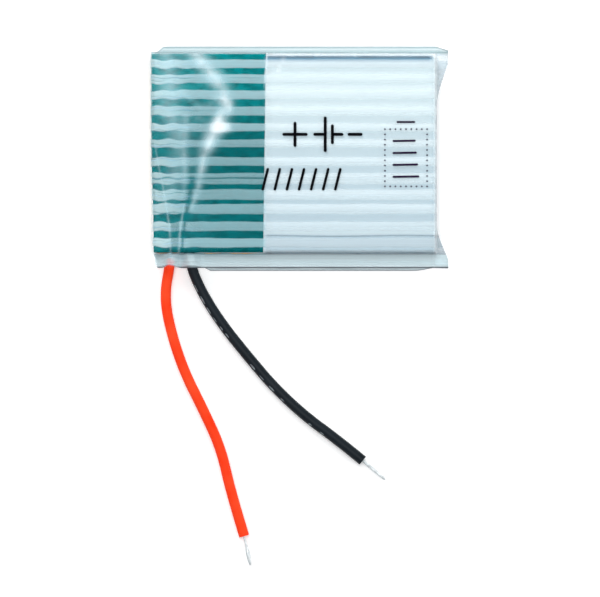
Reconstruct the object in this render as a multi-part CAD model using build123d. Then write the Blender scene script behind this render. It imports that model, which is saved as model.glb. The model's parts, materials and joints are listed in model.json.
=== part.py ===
from build123d import *
import os
from math import pi, radians, tan

# Single-cell lithium-polymer pack with a protection board and two bare leads, in millimetres.
# The pack lies flat: +X runs along the pack towards its folded tail, -X is the head with the board,
# the leads leave the -Y side, and +Z is up. The origin is under the middle of the pack, on the floor.

# Wrap of clear filament tape: a flat lower film and a draped upper film, bonded beyond the cell
FILM = 0.12
FILAMENT = 0.06
BAND_WIDTH = 1.08
BAND_PITCH = 2.04
FIRST_BAND_Y = 11.80
FACE_BANDS = 13
LOWER_FIRST_BAND = -1
LOWER_BANDS = 15
TRAY_FOOT_X = (-18.05, 17.30)
TRAY_FOOT_Y = (-12.05, 12.85)
TRAY_TOP_X = (-17.85, 17.15)
TRAY_TOP_Y = (-11.82, 12.62)
TRAY_TOP_Z = 4.24
UPPER_FILM_HEAD_X = -18.40
UPPER_FILM_Y = (-13.85, 13.50)
LOWER_FILM_HEAD_X = -18.20
LOWER_FILM_Y = (-14.20, 14.20)
LOWER_FILM_LEAD_Y = -13.70
LOWER_FILM_LEAD_X = -11.80
LOWER_FILM_TAPER_X = 15.90
CORNER_CUT = 0.80
TAIL_EDGE_X = 17.50
EAR_X = 18.90
EAR_START_Y = (-8.50, 7.00)

# Clear tape over the head, on top of the wrap
HEAD_TAPE = 0.06
HEAD_TAPE_X = (-18.90, -9.60)
HEAD_TAPE_OVERHANG_Y = (-13.60, 13.20)

# Green insulating tape around the head third
GREEN_TAPE = 0.06
GREEN_TAPE_X = (-17.80, -4.35)
LEAD_WINDOW_X = -12.90
LEAD_WINDOW_TOP = 2.60

# Pouch laminate
LAMINATE = 0.12
CELL_X = (-13.00, 17.10)
CELL_Y = (-11.70, 12.50)
CELL_Z = (0.18, 4.18)
TERRACE_HEAD_X = -17.45
SEAL_TOP_Z = 3.20
SEAL_GAP = 0.06
CUP_RADIUS = 0.50

# Electrode stack inside the pouch
PLATES = 15
PLATE = 0.185
SEPARATOR = 0.05
STACK_BOTTOM_Z = 0.32
SEPARATOR_X = (-10.50, 16.80)
SEPARATOR_Y = (-11.13, 11.93)
ANODE_INSET = 0.20
CATHODE_INSET = 0.60
LUG = 0.030
LUG_PITCH = 0.032
LUG_WIDTH = 3.40
LUG_BEND_X = -10.62
LUG_WELD_X = (-12.50, -11.90)
STACK_TAPE_X = (-4.00, 10.00)
STACK_TAPE_Y = (6.00, 11.20)

# Tabs, their seals and the strip that takes solder
TAB = 0.10
TAB_WIDTH = 3.00
TAB_Z = 0.35
TAB_END_X = -15.20
TAB_RISER_X = -17.65
POSITIVE_TAB_Y = 6.40
NEGATIVE_TAB_Y = -3.90
TAB_CENTRES_Y = (POSITIVE_TAB_Y, NEGATIVE_TAB_Y)
TAB_SEAL_X = (-17.40, -13.40)
TAB_SEAL_WIDTH = 5.00
TAB_SEAL = 0.20
NICKEL_STRIP_X = (-16.90, -14.60)

# Protection board and its parts
BOARD_PAD_Z = (0.62, 0.94)
BOARD = 0.60
BOARD_X = (-17.20, -13.60)
BOARD_Y = (-8.60, 11.00)
LAND = 0.035
LEAD_LAND = (1.50, 2.20)
TAB_LAND = (2.60, 3.20)
CHIP_BODY = (2.90, 1.60, 1.10)
CHIP_SPAN = 2.80
CHIP_PIN = 0.12
CHIP_PIN_WIDTH = 0.40
CHIP_PIN_PITCH = 0.95
CHIP_STANDOFF = 0.05
MOSFET_Y = -0.50
CONTROLLER_Y = 2.90
PASSIVE_BODY = (1.00, 0.50, 0.35)
PASSIVE_CAP = 0.22
RESISTOR_Y = (8.55, 9.35)
CAPACITOR_Y = 10.20
PASSIVE_X = -15.40
BOARD_WRAP = 0.06
BOARD_WRAP_X = (-17.78, -13.08)
BOARD_WRAP_Y = (-8.70, 11.30)
BOARD_WRAP_TOP = 3.02
BOARD_WRAP_FOOT = 0.66
SPACER_X = (-17.60, -13.10)
SPACER_Z = (3.04, 4.16)
SOLDER_RADIUS = 0.72
SOLDER_SINK = 0.12

# Leads: 1.3 mm insulation on a stranded core, with a stripped and tinned end
LEAD_RADIUS = 0.65
LEAD_BORE = 0.26
CORE_RADIUS = 0.24
TIP_RADIUS = 0.27
TIP_LENGTH = 3.30
BEND_SHARE = 0.45
CORE_STUB_Y = -6.40
TUNNEL_CLEARANCE = 0.20
TUNNEL_END_Y = -14.60
RED_ROUTE = [
    (-16.10, -8.85, 1.82),
    (-16.20, -13.00, 0.86),
    (-17.05, -17.20, 0.66),
    (-16.30, -21.60, 0.66),
    (-14.60, -26.80, 0.66),
    (-12.20, -31.60, 0.66),
    (-9.88, -36.60, 0.66),
    (-8.60, -42.30, 0.66),
    (-6.93, -47.75, 0.66),
]
RED_TIP_DIRECTION = (0.209, -0.978, 0.0)
BLACK_ROUTE = [
    (-14.15, -8.85, 1.82),
    (-13.95, -12.95, 0.86),
    (-12.35, -16.85, 0.66),
    (-9.75, -20.95, 0.66),
    (-6.45, -25.05, 0.66),
    (-3.05, -29.05, 0.66),
    (0.95, -32.75, 0.66),
    (4.70, -35.45, 0.66),
    (8.06, -38.20, 0.66),
]
BLACK_TIP_DIRECTION = (0.763, -0.646, 0.0)

BOARD_TOP = BOARD_PAD_Z[1] + BOARD
LAND_TOP = BOARD_TOP + LAND
FLANGE_Z = FILM
FAR = 60.0


def block(x_range, y_range, z_range):
    """Box between two opposite corners, given as a range along each axis."""
    size = [high - low for low, high in (x_range, y_range, z_range)]
    centre = [(high + low) / 2 for low, high in (x_range, y_range, z_range)]
    return Pos(*centre) * Box(*size)


def around(centre, width):
    """Range of the given width about a centre."""
    return (centre - width / 2, centre + width / 2)


def grown(span, amount):
    """Range made longer by an amount at each end."""
    return (span[0] - amount, span[1] + amount)


def save(node, solids):
    """Write one node's solids as a STEP file."""
    shapes = solids if isinstance(solids, list) else [solids]
    pieces = [solid for shape in shapes for solid in shape.solids()]
    shape = pieces[0] if len(pieces) == 1 else Compound(children=pieces)
    export_step(shape, f"parts/{node}.step")


# ---- wrap films, filament bundles and head tape ----

def tray(offset):
    """Steep-sided frustum under the draped film, its sides and top moved out by an offset."""
    corners = []
    for x_range, y_range, z in (
        (TRAY_FOOT_X, TRAY_FOOT_Y, FLANGE_Z),
        (TRAY_TOP_X, TRAY_TOP_Y, TRAY_TOP_Z + offset),
    ):
        x_span = grown(x_range, offset)
        y_span = grown(y_range, offset)
        outline = Rectangle(x_span[1] - x_span[0], y_span[1] - y_span[0])
        corners.append(Pos(sum(x_span) / 2, sum(y_span) / 2, z) * outline)
    return loft(corners)


def tail_edge(low_y, high_y):
    """Concave tail edge of a film: straight in the middle, swept out to an ear at each corner."""
    low_start = (TAIL_EDGE_X, EAR_START_Y[0])
    high_start = (TAIL_EDGE_X, EAR_START_Y[1])
    low_arc = TangentArc(low_start, (EAR_X, low_y), tangent=(0, -1))
    high_arc = TangentArc(high_start, (EAR_X, high_y), tangent=(0, 1))
    return Curve() + [low_arc, Line(low_start, high_start), high_arc]


def upper_outline():
    """Outline of the draped film, seen from above."""
    low_y, high_y = UPPER_FILM_Y
    rest = Polyline(
        (EAR_X, high_y), (UPPER_FILM_HEAD_X, high_y), (UPPER_FILM_HEAD_X, low_y), (EAR_X, low_y)
    )
    return make_face(tail_edge(low_y, high_y) + rest)


def lower_outline():
    """Outline of the flat film, cut back where the leads leave and tapered at the tail corners."""
    low_y, high_y = LOWER_FILM_Y
    ear_low, ear_high = UPPER_FILM_Y
    rest = Polyline(
        (EAR_X, ear_high),
        (EAR_X - 2 * CORNER_CUT, high_y),
        (LOWER_FILM_HEAD_X + CORNER_CUT, high_y),
        (LOWER_FILM_HEAD_X, high_y - CORNER_CUT),
        (LOWER_FILM_HEAD_X, LOWER_FILM_LEAD_Y),
        (LOWER_FILM_LEAD_X, LOWER_FILM_LEAD_Y),
        (LOWER_FILM_LEAD_X + CORNER_CUT, low_y),
        (LOWER_FILM_TAPER_X, low_y),
        (EAR_X, ear_low),
    )
    return make_face(tail_edge(ear_low, ear_high) + rest)


def run_cylinder(start, end, radius):
    """Cylinder from one point to another."""
    axis = Vector(*end) - Vector(*start)
    return Plane(origin=start, z_dir=axis) * Cylinder(
        radius, axis.length, align=(Align.CENTER, Align.CENTER, Align.MIN)
    )


def lead_tunnel(route, radius):
    """Space around a lead where it passes under the draped film."""
    runs = [run_cylinder(start, end, radius) for start, end in zip(route[:2], route[1:3])]
    tunnel = runs[0] + Pos(*route[1]) * Sphere(radius) + runs[1]
    return tunnel & block((-FAR, FAR), (TUNNEL_END_Y, route[0][1]), (FLANGE_Z, FAR))


def tunnels(radius):
    """Both lead tunnels as one solid or pair of solids."""
    return lead_tunnel(RED_ROUTE, radius) + lead_tunnel(BLACK_ROUTE, radius)


def band_ranges(first, count):
    """Y range of each filament bundle, from +Y to -Y."""
    centres = [FIRST_BAND_Y - BAND_PITCH * index for index in range(first, first + count)]
    return [around(centre, BAND_WIDTH) for centre in centres]


def filaments_upper(tunnel_hump):
    """Filament bundles under the draped film, following its top, its end slopes and its flange."""
    layer = tray(FILAMENT) + extrude(Pos(0, 0, FLANGE_Z) * upper_outline(), amount=FILAMENT)
    layer = layer - tray(0) - tunnel_hump
    bundles = []
    for band in band_ranges(0, FACE_BANDS):
        bundles.append(layer & block((-FAR, FAR), band, (0, FAR)))
    return bundles


def filaments_lower():
    """Filament bundles in the upper side of the flat film."""
    layer = extrude(Pos(0, 0, FILM - FILAMENT) * lower_outline(), amount=FILAMENT)
    bands = band_ranges(LOWER_FIRST_BAND, LOWER_BANDS)
    return [layer & block((-FAR, FAR), band, (0, FAR)) for band in bands]


def upper_film(bundles, tunnel_hump, tunnel_bore):
    """Draped film: top, steep sides and bonded flange, humped over the two leads."""
    flange = extrude(Pos(0, 0, FLANGE_Z) * upper_outline(), amount=FILM)
    reach = extrude(upper_outline(), amount=FAR)
    film = tray(FILM) + flange + (tunnel_hump & reach)
    film = film - tray(0) - tunnel_bore
    for bundle in bundles:
        film = film - bundle
    return film


def lower_film(bundles):
    """Flat film that the pack rests on, with its bundles let into the upper side."""
    film = extrude(lower_outline(), amount=FILM)
    for bundle in bundles:
        film = film - bundle
    return film


def head_tape(tunnel_hump):
    """Clear tape over the head: top, three sides and a narrow overhang past the head edge."""
    shell = tray(FILM + HEAD_TAPE) - tray(FILM)
    above_flange = block(HEAD_TAPE_X, (-FAR, FAR), (FLANGE_Z + FILM, FAR))
    overhang_z = (FLANGE_Z + FILM, FLANGE_Z + FILM + HEAD_TAPE)
    inner_edge = TRAY_FOOT_X[0] - FILM
    overhang = block((HEAD_TAPE_X[0], inner_edge), HEAD_TAPE_OVERHANG_Y, overhang_z)
    return (shell & above_flange) + (overhang - tray(FILM)) - tunnel_hump


def green_tape():
    """Insulating tape wound around the head third, with a window where the leads leave."""
    inner_y = CELL_Y
    inner_z = CELL_Z
    outer = block(GREEN_TAPE_X, grown(inner_y, GREEN_TAPE), grown(inner_z, GREEN_TAPE))
    inner = block((-FAR, FAR), inner_y, inner_z)
    window = block((-FAR, LEAD_WINDOW_X), (-FAR, CELL_Y[0]), (CELL_Z[0], LEAD_WINDOW_TOP))
    return outer - inner - window


# ---- pouch ----

def rounded_box(x_range, y_range, z_range, radius):
    """Box with rounded upright and upper edges, as deep-drawn laminate has."""
    solid = block(x_range, y_range, z_range)
    top = solid.faces().sort_by(Axis.Z)[-1]
    return fillet(solid.edges().filter_by(Axis.Z) + top.edges(), radius)


def pouch_cup():
    """Deep-drawn half of the pouch: cup, terrace, and side seals folded up against the walls."""
    foot_z = CELL_Z[0] + LAMINATE
    wall_y = (CELL_Y[0] + 2 * LAMINATE + SEAL_GAP, CELL_Y[1] - 2 * LAMINATE - SEAL_GAP)
    cup = rounded_box(CELL_X, wall_y, (foot_z, CELL_Z[1]), CUP_RADIUS)
    terrace_z = (foot_z, foot_z + LAMINATE)
    cup = cup + block((TERRACE_HEAD_X, CELL_X[0]), CELL_Y, terrace_z)
    cup = cup + block((TERRACE_HEAD_X, CELL_X[0] + CUP_RADIUS), grown(CELL_Y, -LAMINATE), terrace_z)
    for side, wall, outer in ((1, wall_y[0], CELL_Y[0]), (-1, wall_y[1], CELL_Y[1])):
        seal_face = outer + side * LAMINATE
        seal_back = seal_face + side * LAMINATE
        foot = sorted((seal_face, wall + side * CUP_RADIUS))
        upright = sorted((seal_face, seal_back))
        cup = cup + block(CELL_X, foot, (foot_z, foot_z + LAMINATE))
        cup = cup + block(CELL_X, upright, (foot_z, SEAL_TOP_Z))
    for centre in TAB_CENTRES_Y:
        bump_y = around(centre, TAB_SEAL_WIDTH + 2 * LAMINATE)
        bump_z = (foot_z, foot_z + TAB_SEAL + LAMINATE)
        cup = cup + block((TERRACE_HEAD_X, CELL_X[0]), bump_y, bump_z)
    inner_x = grown(CELL_X, -LAMINATE)
    inner_y = grown(wall_y, -LAMINATE)
    hollow = rounded_box(inner_x, inner_y, (0, CELL_Z[1] - LAMINATE), CUP_RADIUS - LAMINATE)
    cup = cup - (hollow & block((-FAR, FAR), (-FAR, FAR), (foot_z, FAR)))
    for centre in TAB_CENTRES_Y:
        pocket_x = (-FAR, inner_x[0] + LAMINATE)
        cup = cup - block(pocket_x, around(centre, TAB_SEAL_WIDTH), (foot_z, foot_z + TAB_SEAL))
    return cup


def pouch_cover():
    """Flat half of the pouch, its long margins folded up outside the cup's."""
    foot_z = (CELL_Z[0], CELL_Z[0] + LAMINATE)
    cover = block((TERRACE_HEAD_X, CELL_X[1]), CELL_Y, foot_z)
    for side, outer in ((1, CELL_Y[0]), (-1, CELL_Y[1])):
        margin = sorted((outer, outer + side * LAMINATE))
        cover = cover + block(CELL_X, margin, (CELL_Z[0], SEAL_TOP_Z))
    return cover


# ---- electrode stack ----

def plate_bottom(index):
    """Height of the underside of a plate, counted up from the bottom of the stack."""
    return STACK_BOTTOM_Z + SEPARATOR + index * (PLATE + SEPARATOR)


def lugged_plate(index, inset, lug_y, weld_level):
    """Coated foil plate with a bare lug that runs down to the weld on its tab."""
    bottom = plate_bottom(index)
    x_range = (SEPARATOR_X[0] + inset, SEPARATOR_X[1] - inset)
    body = block(x_range, grown(SEPARATOR_Y, -inset), (bottom, bottom + PLATE))
    foil_z = bottom + (PLATE - LUG) / 2
    weld_z = TAB_Z + TAB + LUG_PITCH * weld_level
    route = [
        (x_range[0] + inset, foil_z),
        (LUG_BEND_X, foil_z),
        (LUG_WELD_X[1], weld_z),
        (LUG_WELD_X[0], weld_z),
    ]
    upper = [(x, z + LUG) for x, z in reversed(route)]
    profile = make_face(Polyline(*route, *upper, close=True))
    lug = extrude(Plane.XZ * profile, amount=LUG_WIDTH / 2, both=True)
    return body + Pos(0, lug_y, 0) * lug


def electrode_plates(first, inset, lug_y):
    """Every second plate of the stack, starting at the given one."""
    indices = range(first, PLATES, 2)
    return [lugged_plate(index, inset, lug_y, level) for level, index in enumerate(indices)]


def separator():
    """One porous film folded to and fro between the plates."""
    pitch = PLATE + SEPARATOR
    film = None
    for index in range(PLATES + 1):
        low = STACK_BOTTOM_Z + index * pitch
        layer = block(SEPARATOR_X, SEPARATOR_Y, (low, low + SEPARATOR))
        film = layer if film is None else film + layer
        if index < PLATES:
            side = SEPARATOR_Y[index % 2]
            fold = sorted((side, side + (SEPARATOR if index % 2 == 0 else -SEPARATOR)))
            film = film + block(SEPARATOR_X, fold, (low, low + pitch + SEPARATOR))
    return film


def stack_tape():
    """Strip that holds down the free end of the separator."""
    top = STACK_BOTTOM_Z + PLATES * (PLATE + SEPARATOR) + SEPARATOR
    return block(STACK_TAPE_X, STACK_TAPE_Y, (top, top + SEPARATOR))


# ---- tabs ----

def tab(centre, top_z):
    """Flat tab: out through the terrace seal, up past the board's edge and back over its land."""
    width = around(centre, TAB_WIDTH)
    inner = block((TAB_RISER_X, LUG_WELD_X[1]), width, (TAB_Z, TAB_Z + TAB))
    riser = block((TAB_RISER_X, TAB_RISER_X + TAB), width, (TAB_Z, top_z + TAB))
    over = block((TAB_RISER_X, TAB_END_X), width, (top_z, top_z + TAB))
    return inner + riser + over


def tab_seal(centre, tab_solid):
    """Polymer film bonded around a tab where it passes through the terrace seal."""
    foot_z = CELL_Z[0] + LAMINATE
    film = block(TAB_SEAL_X, around(centre, TAB_SEAL_WIDTH), (foot_z, foot_z + TAB_SEAL))
    return film - tab_solid


# ---- protection board ----

def gull_pin(x, y_body, outward):
    """Bent pin from a chip's side down to the board, pointing along +Y or -Y."""
    reach = (CHIP_SPAN - CHIP_BODY[1]) / 2
    y_end = y_body + outward * reach
    y_knee = y_body + outward * reach / 2
    width = around(x, CHIP_PIN_WIDTH)
    shoulder_z = BOARD_TOP + CHIP_STANDOFF + CHIP_BODY[2] / 2
    knee = sorted((y_knee, y_knee + outward * CHIP_PIN))
    foot = block(width, sorted((y_knee, y_end)), (BOARD_TOP, BOARD_TOP + CHIP_PIN))
    riser = block(width, knee, (BOARD_TOP, shoulder_z + CHIP_PIN))
    shoulder = block(width, sorted((y_body, knee[0 if outward < 0 else 1])),
                     (shoulder_z, shoulder_z + CHIP_PIN))
    return foot + riser + shoulder


def chip(centre_y):
    """Six-pin chip: moulded body with a pin-one dimple, and its pins."""
    centre_x = sum(BOARD_X) / 2
    length, width, height = CHIP_BODY
    low = BOARD_TOP + CHIP_STANDOFF
    body = block(around(centre_x, length), around(centre_y, width), (low, low + height))
    top = body.faces().sort_by(Axis.Z)[-1]
    body = chamfer(top.edges(), CHIP_PIN)
    dimple = Pos(centre_x - length / 3, centre_y - width / 4, low + height) * Cylinder(CHIP_PIN, CHIP_PIN)
    pins = []
    for column in (-1, 0, 1):
        x = centre_x + column * CHIP_PIN_PITCH
        pins.append(gull_pin(x, centre_y + width / 2, 1))
        pins.append(gull_pin(x, centre_y - width / 2, -1))
    return body - dimple, pins


def passive(centre_y):
    """Chip resistor or capacitor: body between two plated ends."""
    length, width, height = PASSIVE_BODY
    z_range = (BOARD_TOP, BOARD_TOP + height)
    y_range = around(centre_y, width)
    body = block(around(PASSIVE_X, length - 2 * PASSIVE_CAP), y_range, z_range)
    caps = []
    for side in (-1, 1):
        cap_x = PASSIVE_X + side * (length - PASSIVE_CAP) / 2
        caps.append(block(around(cap_x, PASSIVE_CAP), y_range, z_range))
    return body, caps


def solder_lands():
    """Plated lands for the two tabs and the two leads."""
    land_z = (BOARD_TOP, LAND_TOP)
    centre_x = sum(BOARD_X) / 2
    lands = [block(around(centre_x, TAB_LAND[0]), around(y, TAB_LAND[1]), land_z) for y in TAB_CENTRES_Y]
    lead_y = (CORE_STUB_Y - LEAD_LAND[1] + (LAND_TOP - BOARD_TOP), CORE_STUB_Y)
    for route in (RED_ROUTE, BLACK_ROUTE):
        lands.append(block(around(route[0][0], LEAD_LAND[0]), lead_y, land_z))
    return lands


def solder_dome(x, y, base_z, radius):
    """Domed solder joint standing on a flat surface."""
    dome = Pos(x, y, base_z - SOLDER_SINK) * Sphere(radius)
    return dome & block((-FAR, FAR), (-FAR, FAR), (base_z, FAR))


def board_wrap():
    """Amber insulating film over the board, down at the head and against the cup."""
    outer = block(BOARD_WRAP_X, BOARD_WRAP_Y, (BOARD_WRAP_FOOT, BOARD_WRAP_TOP))
    inner = block(grown(BOARD_WRAP_X, -BOARD_WRAP), (-FAR, FAR), (0, BOARD_WRAP_TOP - BOARD_WRAP))
    return outer - inner


# ---- leads ----

def arc_radii(route):
    """Bend radius at each corner of a route, as large as its two runs allow."""
    radii = []
    for before, corner, after in zip(route, route[1:], route[2:]):
        run_in = Vector(*corner) - Vector(*before)
        run_out = Vector(*after) - Vector(*corner)
        half_turn = radians(run_in.get_angle(run_out)) / 2
        radii.append(BEND_SHARE * min(run_in.length, run_out.length) / tan(half_turn))
    return radii


def lead(name, route, tip_direction):
    """Insulation sleeve, and the core with its board stub and tinned end."""
    radii = arc_radii(route)
    path = FilletPolyline(*route, radius=radii)
    start = Plane(origin=path @ 0, z_dir=path % 0)
    sleeve = sweep(start * (Circle(LEAD_RADIUS) - Circle(LEAD_BORE)), path=path)
    core = sweep(start * Circle(CORE_RADIUS), path=path)
    section = (LEAD_RADIUS**2 - LEAD_BORE**2) * pi
    print(name, "length", round(path.length, 2), "radii", [round(radius, 1) for radius in radii],
          "volume ratio", round(sleeve.volume / (section * path.length), 4))
    stub_start = (route[0][0], CORE_STUB_Y, route[0][2])
    stub = run_cylinder(stub_start, route[0], CORE_RADIUS) + Pos(*route[0]) * Sphere(CORE_RADIUS)
    tip_start = Vector(*route[-1])
    tip_end = tip_start + Vector(*tip_direction).normalized() * TIP_LENGTH
    tip = run_cylinder(tuple(tip_start), tuple(tip_end), TIP_RADIUS)
    tip = tip + Pos(*tip_end) * Sphere(TIP_RADIUS)
    return sleeve, core + stub + tip


def main():
    os.makedirs("parts", exist_ok=True)

    tunnel_bore = tunnels(LEAD_RADIUS + TUNNEL_CLEARANCE)
    tunnel_hump = tunnels(LEAD_RADIUS + TUNNEL_CLEARANCE + FILM)
    upper_bundles = filaments_upper(tunnel_hump)
    lower_bundles = filaments_lower()
    save("filaments_top", upper_bundles)
    save("filaments_bottom", lower_bundles)
    save("wrap_film_top", upper_film(upper_bundles, tunnel_hump, tunnel_bore))
    save("wrap_film_bottom", lower_film(lower_bundles))
    save("head_tape", head_tape(tunnel_hump))
    save("green_tape", green_tape())

    save("pouch_cup", pouch_cup())
    save("pouch_cover", pouch_cover())
    save("anode_plates", electrode_plates(0, ANODE_INSET, NEGATIVE_TAB_Y))
    save("cathode_plates", electrode_plates(1, CATHODE_INSET, POSITIVE_TAB_Y))
    save("separator", separator())
    save("stack_tape", stack_tape())

    negative_tab = tab(NEGATIVE_TAB_Y, LAND_TOP)
    positive_tab = tab(POSITIVE_TAB_Y, LAND_TOP + TAB)
    nickel_strip = block(NICKEL_STRIP_X, around(POSITIVE_TAB_Y, TAB_WIDTH), (LAND_TOP, LAND_TOP + TAB))
    save("negative_tab", negative_tab)
    save("positive_tab", positive_tab)
    save("nickel_strip", nickel_strip)
    save("negative_tab_seal", tab_seal(NEGATIVE_TAB_Y, negative_tab))
    save("positive_tab_seal", tab_seal(POSITIVE_TAB_Y, positive_tab))

    save("board_pad", block(BOARD_X, BOARD_Y, BOARD_PAD_Z))
    save("circuit_board", block(BOARD_X, BOARD_Y, (BOARD_PAD_Z[1], BOARD_TOP)))
    save("solder_lands", solder_lands())
    mosfet, mosfet_pins = chip(MOSFET_Y)
    controller, controller_pins = chip(CONTROLLER_Y)
    save("dual_mosfet", mosfet)
    save("dual_mosfet_pins", mosfet_pins)
    save("protection_ic", controller)
    save("protection_ic_pins", controller_pins)
    resistors = [passive(y) for y in RESISTOR_Y]
    capacitor, capacitor_caps = passive(CAPACITOR_Y)
    save("chip_resistors", [body for body, caps in resistors])
    save("chip_capacitor", capacitor)
    save("chip_end_caps", [cap for body, caps in resistors for cap in caps] + capacitor_caps)
    save("board_wrap", board_wrap())
    save("head_spacer", block(SPACER_X, BOARD_WRAP_Y, SPACER_Z))

    tab_joints = [
        solder_dome(TAB_END_X, NEGATIVE_TAB_Y, LAND_TOP, SOLDER_RADIUS) - negative_tab,
        solder_dome(NICKEL_STRIP_X[1], POSITIVE_TAB_Y, LAND_TOP, SOLDER_RADIUS) - nickel_strip - positive_tab,
    ]
    save("tab_solder", tab_joints)

    red_sleeve, red_core = lead("red", RED_ROUTE, RED_TIP_DIRECTION)
    black_sleeve, black_core = lead("black", BLACK_ROUTE, BLACK_TIP_DIRECTION)
    save("red_lead_insulation", red_sleeve)
    save("red_lead_core", red_core)
    save("black_lead_insulation", black_sleeve)
    save("black_lead_core", black_core)
    joint_y = CORE_STUB_Y - LEAD_LAND[1] / 2
    lead_joints = []
    for route, core in ((RED_ROUTE, red_core), (BLACK_ROUTE, black_core)):
        lead_joints.append(solder_dome(route[0][0], joint_y, LAND_TOP, SOLDER_RADIUS) - core)
    save("lead_solder", lead_joints)


main()
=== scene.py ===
import json
import math
import bpy
import numpy as np
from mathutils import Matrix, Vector


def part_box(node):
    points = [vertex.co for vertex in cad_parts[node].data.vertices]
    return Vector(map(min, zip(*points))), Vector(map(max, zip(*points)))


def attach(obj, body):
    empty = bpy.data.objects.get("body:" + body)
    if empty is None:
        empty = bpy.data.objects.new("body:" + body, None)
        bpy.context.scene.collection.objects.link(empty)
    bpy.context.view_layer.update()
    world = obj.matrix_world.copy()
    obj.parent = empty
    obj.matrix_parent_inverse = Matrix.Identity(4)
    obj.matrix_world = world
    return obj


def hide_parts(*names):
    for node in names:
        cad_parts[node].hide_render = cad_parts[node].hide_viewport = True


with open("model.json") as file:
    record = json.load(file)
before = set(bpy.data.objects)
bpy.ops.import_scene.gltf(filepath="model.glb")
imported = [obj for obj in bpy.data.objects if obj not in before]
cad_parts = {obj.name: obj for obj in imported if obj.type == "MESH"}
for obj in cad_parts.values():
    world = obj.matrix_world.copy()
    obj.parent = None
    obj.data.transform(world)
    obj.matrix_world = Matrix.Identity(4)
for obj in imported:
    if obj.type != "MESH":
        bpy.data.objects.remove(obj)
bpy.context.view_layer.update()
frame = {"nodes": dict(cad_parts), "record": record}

# Everything is worked out in millimetres in the row's frame, and scaled when a mesh is made
MM = 0.001


def span(node):
    """A CAD node's lowest and highest corner, in millimetres."""
    low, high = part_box(node)
    return np.array(low) / MM, np.array(high) / MM


FILM_LOW, FILM_HIGH = span("wrap_film_top")
BASE_LOW, BASE_HIGH = span("wrap_film_bottom")
HEAD_LOW, _ = span("head_tape")
GREEN_LOW, GREEN_HIGH = span("green_tape")
CUP_LOW, CUP_HIGH = span("pouch_cup")
_, BOARD_WRAP_HIGH = span("board_wrap")
CUP_HEAD_X = BOARD_WRAP_HIGH[0] + 0.08
# Height of the flat flange beside the pack, and thickness of the film
FLANGE_TOP = 0.24
FILM = 0.12

# Filament bundles that run along the pack: centre, width and milkiness of each
BANDS = [
    (11.8, 1.08, 1.22), (9.93, 1.12, 1.08), (7.92, 1.12, 1.08), (5.87, 1.16, 0.9), (3.82, 1.0, 1.02),
    (1.8, 0.96, 0.82), (-0.48, 1.08, 0.86), (-2.62, 1.38, 0.8), (-4.64, 1.32, 0.84), (-6.43, 1.26, 0.92),
    (-8.62, 1.16, 0.95), (-10.7, 1.14, 1.18), (-12.8, 1.42, 1.15),
]
# Splits between yarns inside a bundle: place across the pack, width and how open each is
SPLITS = [
    (10.02, 0.1, 0.3), (9.62, 0.08, 0.22), (5.95, 0.1, 0.34), (3.42, 0.09, 0.3), (1.62, 0.08, 0.22),
    (-2.57, 0.17, 0.85), (-3.02, 0.08, 0.25), (-4.45, 0.08, 0.28), (-6.9, 0.09, 0.25), (-8.72, 0.12, 0.2),
    (-12.5, 0.07, 0.22), (-13.12, 0.07, 0.2), (7.62, 0.07, 0.18), (-0.2, 0.08, 0.2), (-10.42, 0.07, 0.18),
]

# Leads: the routes of their centrelines, as in the CAD
LEAD_RADIUS = 0.65
RED_ROUTE = [
    (-16.1, -8.85, 1.82), (-16.2, -13.0, 0.86), (-17.05, -17.2, 0.66), (-16.3, -21.6, 0.66),
    (-14.6, -26.8, 0.66), (-12.2, -31.6, 0.66), (-9.88, -36.6, 0.66), (-8.6, -42.3, 0.66),
    (-6.93, -47.75, 0.66),
]
BLACK_ROUTE = [
    (-14.15, -8.85, 1.82), (-13.95, -12.95, 0.86), (-12.35, -16.85, 0.66), (-9.75, -20.95, 0.66),
    (-6.45, -25.05, 0.66), (-3.05, -29.05, 0.66), (0.95, -32.75, 0.66), (4.7, -35.45, 0.66),
    (8.06, -38.2, 0.66),
]


# ---- small maths ----

def smooth(value, low, high):
    """0 below low, 1 above high, eased between."""
    t = np.clip((value - low) / (high - low), 0.0, 1.0)
    return t * t * (3 - 2 * t)


def bell(value, width):
    """1 at zero, falling off to both sides over the width."""
    return np.exp(-((value / width) ** 2))


def wall_rise(distance, run, power=2.6):
    """Height share of a draped edge: nearly upright at the foot, rounded over at the top."""
    t = np.clip(distance / run, 0.0, 1.0)
    return (1 - (1 - t) ** power) ** (1 / power)


def ripple(x, y, seed, scale=1.0):
    """Seeded sum of a few long waves, for surfaces that are never quite flat."""
    random = np.random.default_rng(seed)
    total = np.zeros(np.broadcast(x, y).shape)
    for _ in range(6):
        angle = random.uniform(0, math.pi)
        length = random.uniform(2.5, 9.0) * scale
        phase = random.uniform(0, 2 * math.pi)
        total = total + np.sin((x * math.cos(angle) + y * math.sin(angle)) * 2 * math.pi / length + phase)
    return total / 6


def dense_line(points, step, least):
    """Close places along a line, at least so many per run, without its last point."""
    places = []
    for a, b in zip(points, points[1:]):
        count = max(least, int(math.hypot(b[0] - a[0], b[1] - a[1]) / step))
        for index in range(count):
            t = index / count
            places.append((a[0] + t * (b[0] - a[0]), a[1] + t * (b[1] - a[1])))
    return places


def distance_to_polyline(x, y, points):
    """Distance from each place to a line through points, and the share of the way along it."""
    best = np.full(np.broadcast(x, y).shape, 1e9)
    along = np.zeros_like(best)
    runs = list(zip(points, points[1:]))
    for index, (a, b) in enumerate(runs):
        dx = b[0] - a[0]
        dy = b[1] - a[1]
        length2 = dx * dx + dy * dy
        t = np.clip(((x - a[0]) * dx + (y - a[1]) * dy) / length2, 0, 1)
        distance = np.hypot(x - (a[0] + t * dx), y - (a[1] + t * dy))
        nearer = distance < best
        best = np.where(nearer, distance, best)
        along = np.where(nearer, (index + t) / len(runs), along)
    return best, along


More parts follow.
